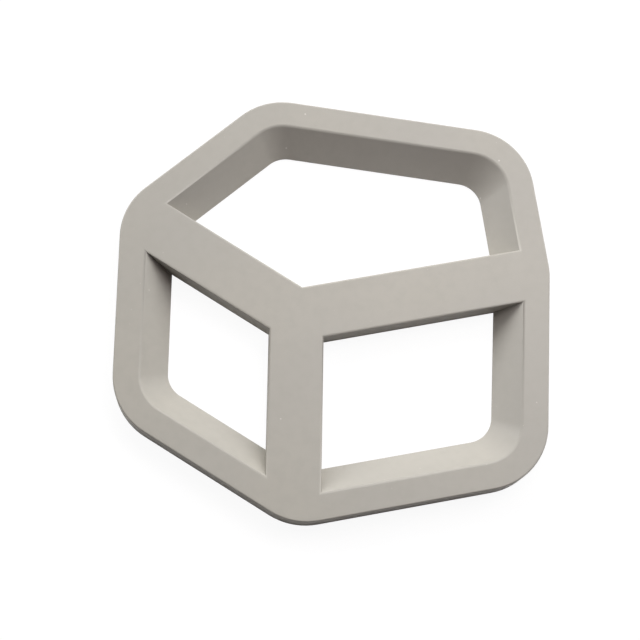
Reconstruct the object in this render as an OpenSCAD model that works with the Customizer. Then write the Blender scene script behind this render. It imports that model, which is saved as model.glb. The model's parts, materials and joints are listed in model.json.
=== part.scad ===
// Trivet moulded in one piece: a flat frame with a seven-sided outline, a rim whose
// inside slopes inwards towards the base, and three bars that meet at a hub and part
// the opening into three windows. The rim, the bars and the hub share one flat top.
// Frame: the base lies on z = 0, the origin is the centre of the outline's bounding
// box, and the stem runs along -Y. Millimetres.

/* [Plate] */
// Thickness, from the base to the flat top
plate_t = 11; // [8:0.5:14]
// Width of the rim's flat top
rim_top_w = 11; // [8:0.5:13]
// How far the rim's inside slopes inwards between its top and its base
rim_slope_w = 11; // [6:0.5:12]
// Radius of the outline's corners
corner_r = 28; // [24:1:30]
// Radius of the windows' rounded corners at the base
window_base_r = 11; // [6:1:12]
// Width of the stem and of both arms, the bars that run out from the hub
bar_w = 22.5; // [18:0.5:26]

/* [Outline] */
// Distance from the hub to the right corner, where the right arm ends
right_reach = 109; // [108:0.5:111]
// Bearing of the right corner from the hub, in degrees from +X towards +Y
right_bearing = 12; // [11:0.5:13]
// Distance from the hub to the upper right corner
upper_right_reach = 127.5; // [124:0.5:131]
// Bearing of the upper right corner
upper_right_bearing = 40.5; // [38.5:0.5:42.5]
// Distance from the hub to the upper left corner
upper_left_reach = 97; // [93:0.5:101]
// Bearing of the upper left corner
upper_left_bearing = 99.5; // [97:0.5:102]
// Distance from the hub to the left corner, where the left arm ends
left_reach = 87; // [84:0.5:90]
// Bearing of the left corner
left_bearing = 149; // [147:0.5:151]
// Distance from the hub to the lower left corner
lower_left_reach = 86; // [83:0.5:89]
// Bearing of the lower left corner
lower_left_bearing = 210; // [208:0.5:212]
// Distance from the hub to the bottom corner, where the stem ends
bottom_reach = 87.5; // [84:0.5:91]
// Distance from the hub to the lower right corner
lower_right_reach = 123; // [119:0.5:127]
// Bearing of the lower right corner
lower_right_bearing = 327.5; // [325.5:0.5:329.5]

/* [Hidden] */
$fn = 96;

// The stem runs straight down to the bottom corner
bottom_bearing = 270;

// Corners of the outline before they are rounded, anticlockwise round the hub
CORNERS = [
    from_hub(right_reach, right_bearing),
    from_hub(upper_right_reach, upper_right_bearing),
    from_hub(upper_left_reach, upper_left_bearing),
    from_hub(left_reach, left_bearing),
    from_hub(lower_left_reach, lower_left_bearing),
    from_hub(bottom_reach, bottom_bearing),
    from_hub(lower_right_reach, lower_right_bearing)
];
COUNT = len(CORNERS);

// At the top, the windows' corners share their centres with the outline's corners
window_top_r = corner_r - rim_top_w;
// How far the cutters run past the faces that they cut
over = 1;
// Steps along each rounded corner of the sloping inside
arc_steps = 12;
// Bars are cut this long, past every side of the outline
bar_l = max([for (c = CORNERS) norm(c)]);

// Centres of the outline's corner arcs. The outline is everything within one
// corner radius of the shape that they span, and so is its bounding box.
CENTRES = [for (i = [0 : COUNT - 1]) inset_corner(i, corner_r)];
XS = [for (c = CENTRES) c[0]];
YS = [for (c = CENTRES) c[1]];
BOX_CENTRE = [(min(XS) + max(XS)) / 2, (min(YS) + max(YS)) / 2];

// Point at a distance and a bearing from the hub
function from_hub(reach, bearing) = reach * [cos(bearing), sin(bearing)];

// Direction that side i faces; side i runs from corner i to the next corner
function facing(i) =
    let (run = CORNERS[(i + 1) % COUNT] - CORNERS[i % COUNT])
    atan2(-run[0], run[1]);

// Angle through which the outline turns at corner i
function turn(i) = (facing(i) - facing(i + COUNT - 1) + 360) % 360;

// Point inset by the same distance from both of the sides that meet at corner i
function inset_corner(i, inset) =
    let (
        before = from_hub(1, facing(i + COUNT - 1)),
        after = from_hub(1, facing(i))
    )
    CORNERS[i] - inset * (before + after) / (1 + before * after);

// Outline inset from its sides, with corners of radius r, as a list of points
function rounded_ring(inset, r) = [
    for (i = [0 : COUNT - 1], step = [0 : arc_steps])
        inset_corner(i, inset + r)
            + from_hub(r, facing(i + COUNT - 1) + turn(i) * step / arc_steps)
];

// The rim's sloping inside at height z, as points in space
function opening_ring(z) =
    let (
        up = z / plate_t,
        inset = rim_top_w + rim_slope_w * (1 - up),
        r = window_base_r + (window_top_r - window_base_r) * up
    )
    [for (p = rounded_ring(inset, r)) [p[0], p[1], z]];

// Whole plate with rounded corners, before anything is cut out of it
module plate() {
    linear_extrude(plate_t) {
        polygon([
            for (i = [0 : COUNT - 1], side = [i + COUNT - 1, i])
                CENTRES[i] + from_hub(corner_r, facing(side))
        ]);
        for (c = CENTRES) translate(c) circle(corner_r);
    }
}

// Space inside the rim, wider at the top than at the base
module opening() {
    low = opening_ring(-over);
    high = opening_ring(plate_t + over);
    n = len(low);
    polyhedron(
        points = concat(low, high),
        faces = concat(
            [[for (k = [0 : n - 1]) k]],
            [[for (k = [n - 1 : -1 : 0]) n + k]],
            [for (k = [0 : n - 1]) [k, n + k, n + (k + 1) % n, (k + 1) % n]]
        )
    );
}

// One bar from the hub out past the rim, taller than the plate
module bar(bearing) {
    rotate(bearing)
        translate([0, -bar_w / 2, -2 * over])
            cube([bar_l, bar_w, plate_t + 4 * over]);
}

// Stem and arms, which run to the bottom, right and left corners
module bars() {
    for (bearing = [bottom_bearing, right_bearing, left_bearing]) bar(bearing);
}

module trivet() {
    color([0.72, 0.70, 0.67])
        translate([-BOX_CENTRE[0], -BOX_CENTRE[1], 0])
            difference() {
                plate();
                difference() {
                    opening();
                    bars();
                }
            }
}

trivet();
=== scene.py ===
# %% [markdown]
# # A moulded silicone trivet
# This lesson builds the looks of one flat silicone trivet: a seven-sided frame with three
# bars that meet off its middle. The exact shape was drawn in CAD beforehand. It comes in
# here as a fixed frame, in metres, with the base on z = 0 and the stem along -Y. What the
# CAD shape lacks is what the eye reads as silicone: soft moulded edges, a powdery skin and
# the light on both. Each step below adds one of these.

# %% Load the CAD frame
import json
import math

import bmesh
import bpy
from mathutils import Matrix, Vector

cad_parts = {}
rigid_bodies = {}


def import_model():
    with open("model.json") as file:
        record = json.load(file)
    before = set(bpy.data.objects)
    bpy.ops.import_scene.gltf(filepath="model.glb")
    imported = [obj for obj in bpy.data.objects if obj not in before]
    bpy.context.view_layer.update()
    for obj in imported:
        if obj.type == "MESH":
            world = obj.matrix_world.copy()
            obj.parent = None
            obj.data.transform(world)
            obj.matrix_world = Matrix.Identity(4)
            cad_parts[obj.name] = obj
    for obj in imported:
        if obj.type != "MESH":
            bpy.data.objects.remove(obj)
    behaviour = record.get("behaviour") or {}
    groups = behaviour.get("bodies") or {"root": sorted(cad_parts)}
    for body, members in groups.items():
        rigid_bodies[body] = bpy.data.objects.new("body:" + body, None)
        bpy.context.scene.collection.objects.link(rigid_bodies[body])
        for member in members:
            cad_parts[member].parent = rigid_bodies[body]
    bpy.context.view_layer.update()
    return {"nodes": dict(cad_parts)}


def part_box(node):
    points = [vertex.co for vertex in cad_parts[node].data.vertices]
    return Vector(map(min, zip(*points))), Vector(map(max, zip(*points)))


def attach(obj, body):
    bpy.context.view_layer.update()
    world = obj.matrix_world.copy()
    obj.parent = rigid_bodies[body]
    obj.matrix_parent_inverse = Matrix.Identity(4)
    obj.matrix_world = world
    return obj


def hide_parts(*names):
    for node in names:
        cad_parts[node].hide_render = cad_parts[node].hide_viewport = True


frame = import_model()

MM = 0.001

base_corner, top_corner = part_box("trivet")
thickness = top_corner.z - base_corner.z

# %% [markdown]
# ## Copy the CAD shape to work on
# The CAD node itself must stay as it is, so the moulding is a copy. The copy arrives as
# loose triangles, because CAD meshes are stored that way: every triangle has its own three
# points. Merging by distance joins them into one closed skin. It also closes a few edges
# only some thousandths of a millimetre long, which a bevel would turn inside out. Limited
# dissolve then clears the lines that lie inside flat faces, so that only real edges are
# left to be rounded. The shape could be modelled again from a drawn outline instead, but
# the copy can't be wrong by a fraction of a millimetre.

# %% Copy, merge and clear the flat faces
MERGE_WITHIN = 0.02 * MM
FLAT_WITHIN = math.radians(0.4)

trivet_cad = frame["nodes"]["trivet"]
bpy.ops.object.select_all(action="DESELECT")
trivet_cad.select_set(True)
bpy.context.view_layer.objects.active = trivet_cad
bpy.ops.object.duplicate()
moulding = bpy.context.view_layer.objects.active
bpy.ops.object.parent_clear(type="CLEAR_KEEP_TRANSFORM")
moulding.name = moulding.data.name = "trivet_moulding"

bpy.ops.object.mode_set(mode="EDIT")
bpy.ops.mesh.select_mode(type="VERT")
bpy.ops.mesh.select_all(action="SELECT")
bpy.ops.mesh.remove_doubles(threshold=MERGE_WITHIN)
bpy.ops.mesh.dissolve_limited(angle_limit=FLAT_WITHIN)
bpy.ops.object.mode_set(mode="OBJECT")
print(f"moulding: {len(moulding.data.vertices)} points, {len(moulding.data.polygons)} faces")

# %% [markdown]
# ## Give the windows' lip its small upright land
# In the CAD shape the rim's slope runs down to a knife edge on the table. Silicone can't be
# moulded to a knife edge: the tool leaves a low upright land there, or the lip would tear.
# Pressing the shape up towards its top by the height of the land, and then extruding the
# base back down, makes that land without moving any window's outline.

# %% Press up, then extrude the base back down
LAND = 0.8 * MM
FACING_DOWN = -0.99


def choose(kind, rule):
    """Select the faces or edges of the moulding that a rule picks, in edit mode."""
    bpy.ops.mesh.select_mode(type=kind)
    bpy.ops.mesh.select_all(action="DESELECT")
    skin = bmesh.from_edit_mesh(moulding.data)
    skin.normal_update()
    for item in skin.faces if kind == "FACE" else skin.edges:
        if rule(item):
            item.select_set(True)
    skin.select_flush_mode()
    bmesh.update_edit_mesh(moulding.data)
    return moulding.data.total_face_sel if kind == "FACE" else moulding.data.total_edge_sel


bpy.ops.object.mode_set(mode="EDIT")
bpy.ops.mesh.select_all(action="SELECT")
bpy.ops.transform.resize(
    value=(1, 1, (thickness - LAND) / thickness),
    center_override=(0, 0, thickness),
)
count = choose("FACE", lambda face: face.normal.z < FACING_DOWN)
bpy.ops.mesh.extrude_region_move(TRANSFORM_OT_translate={"value": (0, 0, -LAND)})
bpy.ops.object.mode_set(mode="OBJECT")
print(f"base faces extruded: {count}, land {LAND / MM:.1f} mm")

# %% [markdown]
# ## Sort the standing edges by how round they are
# No edge of a moulded part is sharp. An edge that stands out was a hollow line in the
# mould, and a cutter leaves its own radius there. Hollow corners are another matter: in the
# mould they were the outer corners of the window blocks, and those come out crisp, so they
# are left alone. The signed face angle tells the two apart. The standing edges fall into
# four groups: the rim's outer edge, the top of the slopes, the top of the bars, and
# everything low down by the table. Each group gets a bevel weight, which says how much of
# the largest rounding it takes. One bevel per group would be easier to follow, but then
# the groups couldn't meet neatly at the corners.

# %% Give each group its bevel weight
ROUND = {"outer": 0.7 * MM, "slope": 0.8 * MM, "bar": 0.9 * MM, "low": 0.15 * MM}
LARGEST = max(ROUND.values())
BARS_WITHIN = 60 * MM
SHARP_OVER = math.radians(25)
LEANING = 0.3


def standing(edge):
    """True for a sharp edge that stands out rather than in."""
    return len(edge.link_faces) == 2 and edge.calc_face_angle_signed() > SHARP_OVER


def group_of(edge):
    """Name a standing edge's group by its height, its steeper face and its place."""
    middle = (edge.verts[0].co + edge.verts[1].co) / 2
    if middle.z < thickness / 2:
        return "low"
    if min(face.normal.z for face in edge.link_faces) > LEANING:
        return "slope"
    return "bar" if middle.xy.length < BARS_WITHIN else "outer"


bpy.ops.object.mode_set(mode="EDIT")
for group, size in ROUND.items():
    count = choose("EDGE", lambda edge: standing(edge) and group_of(edge) == group)
    bpy.ops.transform.edge_bevelweight(value=size / LARGEST)
    print(f"{group}: {count} edges, {size / MM:.2f} mm")
bpy.ops.object.mode_set(mode="OBJECT")

# %% [markdown]
# ## Round them all in one go
# The Bevel modifier reads the weights and rounds every group at once. Its clamp is switched
# off: it would hold all the bevels back to what the shortest edge of an arc can take, which
# is next to nothing. Five segments make a round that stays smooth close up.

# %% Bevel by weight
SEGMENTS = 5

rounding = moulding.modifiers.new("rounding", "BEVEL")
rounding.limit_method = "WEIGHT"
rounding.width = LARGEST
rounding.segments = SEGMENTS
rounding.use_clamp_overlap = False
bpy.ops.object.select_all(action="DESELECT")
moulding.select_set(True)
bpy.context.view_layer.objects.active = moulding
bpy.ops.object.modifier_apply(modifier="rounding")
print(f"rounded: {len(moulding.data.vertices)} points, {len(moulding.data.polygons)} faces")

# %% [markdown]
# ## Smooth the rounds and keep the faces flat
# Smooth shading by angle lets light run softly round the bevels and stays crisp at the
# hollow corners. By itself it would also bend the light across the wide flat faces next to
# each round. Weighted normals stop that: the big face decides how the shared edge is lit.

# %% Shade
SMOOTH_UNDER = math.radians(30)
EVEN_WEIGHT = 50

bpy.ops.object.shade_smooth_by_angle(angle=SMOOTH_UNDER)
evening = moulding.modifiers.new("evening", "WEIGHTED_NORMAL")
evening.mode = "FACE_AREA"
evening.weight = EVEN_WEIGHT
evening.keep_sharp = True
bpy.ops.object.modifier_apply(modifier="evening")
print(f"sharp lines left: {sum(edge.use_edge_sharp for edge in moulding.data.edges)}")

# %% [markdown]
# ## The silicone
# Moulded silicone looks powdery: its colour is even and warm grey, light spreads softly
# over it, and it has a low, broad gloss rather than a shine. Close up the skin is finely
# grained, because the mould was blasted with beads, and it holds on to dust. A painted
# picture could show all that, but it would need unwrapping and would blur close up. Noise
# patterns that read the Object coordinates have the same fine grain at any distance.

# %% A material with the trivet's own coordinates
silicone = bpy.data.materials.new("warm_grey_silicone")
silicone.use_nodes = True
nodes = silicone.node_tree.nodes
links = silicone.node_tree.links
skin_shader = nodes["Principled BSDF"]
place = nodes.new("ShaderNodeTexCoord").outputs["Object"]
print("patterns read", place.node.name, place.name)


# %% Helpers for patterns
def per_mm(count):
    """Pattern scale for so many repeats in a millimetre, as Object coordinates are in metres."""
    return count / MM


def noise(scale, detail=2.0, roughness=0.5):
    """A noise pattern on the trivet's own coordinates."""
    pattern = nodes.new("ShaderNodeTexNoise")
    pattern.inputs["Scale"].default_value = scale
    pattern.inputs["Detail"].default_value = detail
    pattern.inputs["Roughness"].default_value = roughness
    links.new(place, pattern.inputs["Vector"])
    return pattern.outputs["Fac"]


def between(value, low, high, to_low, to_high):
    """Turn a pattern's range into the range that a finish needs, with flat ends."""
    ramp = nodes.new("ShaderNodeMapRange")
    ramp.inputs["From Min"].default_value = low
    ramp.inputs["From Max"].default_value = high
    ramp.inputs["To Min"].default_value = to_low
    ramp.inputs["To Max"].default_value = to_high
    links.new(value, ramp.inputs["Value"])
    return ramp.outputs["Result"]


# %% Helper for mixing colours
# The Mix node names its number and colour sockets alike, so the colour ones go by place
FIRST_COLOUR, SECOND_COLOUR, MIXED_COLOUR = 6, 7, 2


def blend(amount, first, second):
    """Mix two colours; each is a colour or another mix."""
    mix = nodes.new("ShaderNodeMix")
    mix.data_type = "RGBA"
    links.new(amount, mix.inputs["Factor"])
    for place_in, colour in ((FIRST_COLOUR, first), (SECOND_COLOUR, second)):
        if isinstance(colour, tuple):
            mix.inputs[place_in].default_value = (*colour, 1)
        else:
            links.new(colour, mix.inputs[place_in])
    return mix.outputs[MIXED_COLOUR]


# %% [markdown]
# ### Colour
# The pigment is stirred into the silicone before it is pressed, and never quite evenly: it
# drifts a little over the width of a hand, and it is faintly mottled at a few millimetres.
# Both are kept so weak that they are felt rather than seen. On top lie a few pale specks of
# dust, which silicone pulls out of the air. A Voronoi pattern places them: each cell has
# one speck at its middle, and only the few cells with the highest random number show it.

# %% Pigment drift and mottling
GREY_WARM = (0.427, 0.409, 0.359)
GREY_COOL = (0.408, 0.393, 0.352)
GREY_DEEP = (0.386, 0.371, 0.328)
DRIFTS_PER_MM = 0.014
MOTTLES_PER_MM = 0.25
MOTTLE_MOST = 0.5

drift = between(noise(per_mm(DRIFTS_PER_MM), detail=1.0), low=0.35, high=0.65, to_low=0, to_high=1)
mottled = noise(per_mm(MOTTLES_PER_MM), detail=3.0)
mottle = between(mottled, low=0.42, high=0.75, to_low=0, to_high=MOTTLE_MOST)
pigment = blend(mottle, blend(drift, GREY_WARM, GREY_COOL), GREY_DEEP)
print(f"pigment: drift over {1 / DRIFTS_PER_MM:.0f} mm, mottling over {1 / MOTTLES_PER_MM:.0f} mm")

# %% Dust
DUST = (0.60, 0.58, 0.54)
SOFT_RIM = 0.6
PICK_BAND = 0.01


def specks(cell, size, share):
    """Sparse round specks: the cells' width, a speck's radius, and the share of cells used."""
    cells = nodes.new("ShaderNodeTexVoronoi")
    cells.inputs["Scale"].default_value = 1 / cell
    links.new(place, cells.inputs["Vector"])
    near_middle = between(cells.outputs["Distance"], SOFT_RIM * size / cell, size / cell, 1.0, 0.0)
    number = nodes.new("ShaderNodeSeparateColor")
    links.new(cells.outputs["Color"], number.inputs["Color"])
    chosen = between(number.outputs["Red"], 1 - share, 1 - share + PICK_BAND, 0.0, 1.0)
    both = nodes.new("ShaderNodeMath")
    both.operation = "MULTIPLY"
    links.new(near_middle, both.inputs[0])
    links.new(chosen, both.inputs[1])
    return both.outputs["Value"]


dusty = blend(specks(cell=7 * MM, size=0.45 * MM, share=0.12), pigment, DUST)
dusty = blend(specks(cell=3 * MM, size=0.16 * MM, share=0.20), dusty, DUST)
links.new(dusty, skin_shader.inputs["Base Color"])
print("base colour reads", dusty.node.name)

# %% [markdown]
# ### Gloss and grain
# The gloss is broad and low, and it varies a little where hands and dishcloths have rubbed.
# The grain is real relief, but it is finer than any mesh could hold, so it goes in as bump:
# a fine even grain of a few tenths of a millimetre, and a very shallow unevenness a few
# centimetres long, which is how a cooling moulding shrinks. Sheen adds the powdery light
# that matte silicone shows at a glancing angle.

# %% Roughness and bump
RUBS_PER_MM = 0.05
RUBBED = 0.42
UNRUBBED = 0.50
HOLLOWS_PER_MM = 0.04
HOLLOW_DEPTH = 0.12 * MM
GRAINS_PER_MM = 3.0
GRAIN_DEPTH = 0.02 * MM

wear = noise(per_mm(RUBS_PER_MM), detail=2.0)
rubbed = between(wear, low=0.3, high=0.7, to_low=RUBBED, to_high=UNRUBBED)
links.new(rubbed, skin_shader.inputs["Roughness"])


def bump(height, distance, strength, under=None):
    """Relief from a pattern, on top of another relief where one is given."""
    relief = nodes.new("ShaderNodeBump")
    relief.inputs["Distance"].default_value = distance
    relief.inputs["Strength"].default_value = strength
    links.new(height, relief.inputs["Height"])
    if under:
        links.new(under, relief.inputs["Normal"])
    return relief.outputs["Normal"]


shrinkage = bump(noise(per_mm(HOLLOWS_PER_MM), detail=1.0), HOLLOW_DEPTH, strength=1.0)
fine_noise = noise(per_mm(GRAINS_PER_MM), detail=4.0, roughness=0.6)
grain = bump(fine_noise, GRAIN_DEPTH, strength=0.6, under=shrinkage)
links.new(grain, skin_shader.inputs["Normal"])
print(f"grain: {1 / GRAINS_PER_MM:.2f} mm across, {GRAIN_DEPTH / MM:.2f} mm deep")

# %% Gloss and sheen, then hand the piece over
GLOSS = 0.45
SHEEN = 0.06
SHEEN_SPREAD = 0.5

skin_shader.inputs["Specular IOR Level"].default_value = GLOSS
skin_shader.inputs["Sheen Weight"].default_value = SHEEN
skin_shader.inputs["Sheen Roughness"].default_value = SHEEN_SPREAD

moulding.data.materials.clear()
moulding.data.materials.append(silicone)
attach(moulding, "root")
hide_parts("trivet")
print(f"silicone: {len(nodes)} nodes")

# %% [markdown]
# ## A white sweep of paper
# A product like this is photographed on white paper that is lit until it is almost blank,
# so that only the object has tones. Paper bright enough for that would throw too much light
# up at the trivet's walls. The paper is therefore ordinary white paper for the light, and
# mostly bright white to the camera, with an eighth of its real shading left, which keeps
# the faint shadow that sets the trivet on the table.

# %% Paper for the light, glowing for the camera
PAPER_WHITE = (0.88, 0.88, 0.88, 1)
PAPER_MATTE = 0.9
PAPER_GLOW = 1.06
SHADING_KEPT = 0.125

paper = bpy.data.materials.new("white_paper")
paper.use_nodes = True
tree = paper.node_tree
matte = tree.nodes["Principled BSDF"]
matte.inputs["Base Color"].default_value = PAPER_WHITE
matte.inputs["Roughness"].default_value = PAPER_MATTE
glow = tree.nodes.new("ShaderNodeEmission")
glow.inputs["Strength"].default_value = PAPER_GLOW
ray = tree.nodes.new("ShaderNodeLightPath")
share = tree.nodes.new("ShaderNodeMath")
share.operation = "MULTIPLY"
share.inputs[1].default_value = 1 - SHADING_KEPT
washed = tree.nodes.new("ShaderNodeMixShader")
tree.links.new(ray.outputs["Is Camera Ray"], share.inputs[0])
tree.links.new(share.outputs["Value"], washed.inputs["Fac"])
tree.links.new(matte.outputs["BSDF"], washed.inputs[1])
tree.links.new(glow.outputs["Emission"], washed.inputs[2])
tree.links.new(washed.outputs["Shader"], tree.nodes["Material Output"].inputs["Surface"])
print(f"paper: {SHADING_KEPT:.1%} of its shading kept")

# %% Lay the floor
FLOOR_SIZE = 8.0

bpy.ops.object.select_all(action="DESELECT")
bpy.ops.mesh.primitive_plane_add(size=FLOOR_SIZE, location=(0, 0, base_corner.z))
floor = bpy.context.view_layer.objects.active
floor.name = "floor"
floor.data.materials.append(paper)
print(f"floor: {FLOOR_SIZE:.0f} m of paper")

# %% [markdown]
# ## Light
# The light comes from a wide, low bank of soft boxes behind the trivet: it brightens the
# slopes that face it, leaves the far slope and the front walls dark, and makes a thin
# bright line along every back edge. Two boxes to the sides carry the bank round, one higher
# box on the right lifts that side, and a small lamp close above the upper right gives the
# slow fall of light from right to left. That lamp and the room are a little rosy, which
# keeps the shaded slopes from going green beside the warm top. One big lamp would be
# simpler, but every side slope would then have the same tone.

# %% A soft box
def soft_box(name, bearing, elevation, distance, size, power, colour=(1, 1, 1)):
    """A square lamp that faces the middle of the trivet and isn't seen itself."""
    a, e = math.radians(bearing), math.radians(elevation)
    stand = distance * Vector((math.cos(a) * math.cos(e), math.sin(a) * math.cos(e), math.sin(e)))
    lamp = bpy.data.lights.new(name, "AREA")
    lamp.size = size
    lamp.energy = power
    lamp.color = colour
    box = bpy.data.objects.new(name, lamp)
    bpy.context.scene.collection.objects.link(box)
    box.location = stand
    box.rotation_euler = (-stand).to_track_quat("-Z", "Y").to_euler()
    box.visible_camera = False
    print(f"{name}: {power} W at {distance} m")


# %% Set up the bank and the close lamp
AWAY = 2.0
BACK_SIZE = 1.2
SIDE_SIZE = 1.0
CLOSE_AWAY = 0.4
CLOSE_SIZE = 0.2
LAMP_ROSY = (1.0, 0.93, 0.96)

soft_box("back_left_of_middle", bearing=105, elevation=30, distance=AWAY, size=BACK_SIZE, power=19.2)
soft_box("back_right_of_middle", bearing=75, elevation=40, distance=AWAY, size=BACK_SIZE, power=10.2)
soft_box("left", bearing=150, elevation=22, distance=AWAY, size=SIDE_SIZE, power=17.4)
soft_box("right_low", bearing=30, elevation=22, distance=AWAY, size=SIDE_SIZE, power=13.3)
soft_box("right_high", bearing=30, elevation=45, distance=AWAY, size=SIDE_SIZE, power=9.3)
soft_box(
    "close",
    bearing=45,
    elevation=70,
    distance=CLOSE_AWAY,
    size=CLOSE_SIZE,
    power=0.45,
    colour=LAMP_ROSY,
)

# %% [markdown]
# ## The room
# The room gives hardly any light, as a studio's should, but past the edge of the paper it
# shows as a pale wall. The Light Path node tells the two apart.

# %% World
ROOM_PALE = (0.90, 0.90, 0.90, 1)
ROOM_ROSY = (1.0, 0.86, 0.91, 1)
ROOM_LIGHT = 0.05

room = bpy.data.worlds.new("studio")
bpy.context.scene.world = room
room.use_nodes = True
tree = room.node_tree
dim = tree.nodes["Background"]
dim.inputs["Color"].default_value = ROOM_ROSY
dim.inputs["Strength"].default_value = ROOM_LIGHT
pale = tree.nodes.new("ShaderNodeBackground")
pale.inputs["Color"].default_value = ROOM_PALE
ray = tree.nodes.new("ShaderNodeLightPath")
seen = tree.nodes.new("ShaderNodeMixShader")
tree.links.new(ray.outputs["Is Camera Ray"], seen.inputs["Fac"])
tree.links.new(dim.outputs["Background"], seen.inputs[1])
tree.links.new(pale.outputs["Background"], seen.inputs[2])
tree.links.new(seen.outputs["Shader"], tree.nodes["World Output"].inputs["Surface"])
bpy.context.scene.view_settings.view_transform = "Standard"
print("view transform:", bpy.context.scene.view_settings.view_transform)

# %% [markdown]
# ## The camera
# The trivet is seen from well above, a little from its left, with the camera rolled so that
# the stem points down the picture. A long lens keeps the far side nearly as large as the
# near one. Three angles and a distance place it: turn about the upright axis, tilt down
# from level, and roll about the line of sight.

# %% Camera
CAMERA_TURN = 13.551
CAMERA_TILT = 74.702
CAMERA_ROLL = 14.944
CAMERA_DISTANCE = 632.369 * MM
LENS = 84.375
SENSOR_WIDTH = 36
LOOK_AT = Vector((-5.687, -3.445, 0)) * MM

turn, tilt, roll = map(math.radians, (CAMERA_TURN, CAMERA_TILT, CAMERA_ROLL))
ahead = Vector((math.sin(turn) * math.cos(tilt), math.cos(turn) * math.cos(tilt), -math.sin(tilt)))
level = Vector((math.cos(turn), -math.sin(turn), 0))
upright = level.cross(ahead)
across = math.cos(roll) * level + math.sin(roll) * upright
up = math.cos(roll) * upright - math.sin(roll) * level
camera = bpy.data.objects.new("camera", bpy.data.cameras.new("camera"))
bpy.context.scene.collection.objects.link(camera)
camera.data.lens = LENS
camera.data.sensor_width = SENSOR_WIDTH
camera.matrix_world = Matrix.Translation(LOOK_AT - CAMERA_DISTANCE * ahead) @ Matrix(
    (across, up, -ahead)
).transposed().to_4x4()
bpy.context.scene.camera = camera
print("camera at", [round(v, 4) for v in camera.location])
